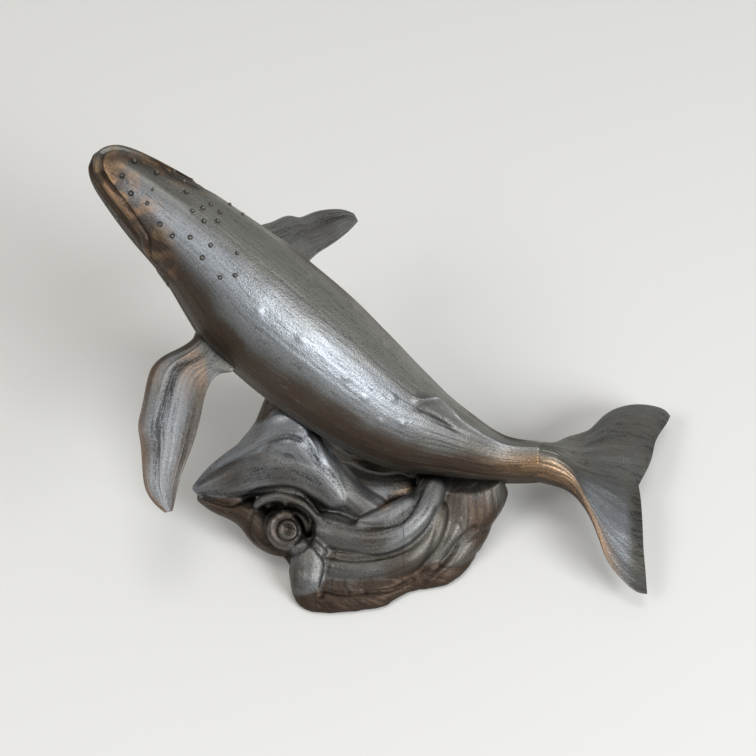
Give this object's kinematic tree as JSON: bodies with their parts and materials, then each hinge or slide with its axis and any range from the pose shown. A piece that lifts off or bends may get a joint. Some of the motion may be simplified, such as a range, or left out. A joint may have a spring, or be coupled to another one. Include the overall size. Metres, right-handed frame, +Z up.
{
  "type": "whale figurine",
  "caption": "Cast humpback whale with spread pectoral fins and a raised fluke, rising over a breaking wave that serves as its base, with felt underneath.",
  "frame": {"origin": "on the table under the middle of the felt pad", "axes": "+Z up, +X towards the tail fluke with the snout at -X, +Y towards the whale's right side"},
  "size_m": [0.2603, 0.1788, 0.1696],
  "materials": {
    "bronze_finish": "dark pewter and bronze patina, dry-brushed, satin",
    "steel": "plain drawn",
    "plate": "matte black",
    "felt": "felt"
  },
  "bodies": {
    "root": {"whale_body": "bronze_finish", "left_pectoral_fin": "bronze_finish", "right_pectoral_fin": "bronze_finish", "tail_fluke": "bronze_finish", "wave_crest": "bronze_finish", "wave_swell": "bronze_finish", "base_plate": "plate", "felt_pad": "felt", "chest_dowel": "steel", "tail_dowel": "steel", "left_fin_dowel": "steel", "right_fin_dowel": "steel", "fluke_dowel": "steel", "wave_dowels": "steel"}
  },
  "joints": []
}
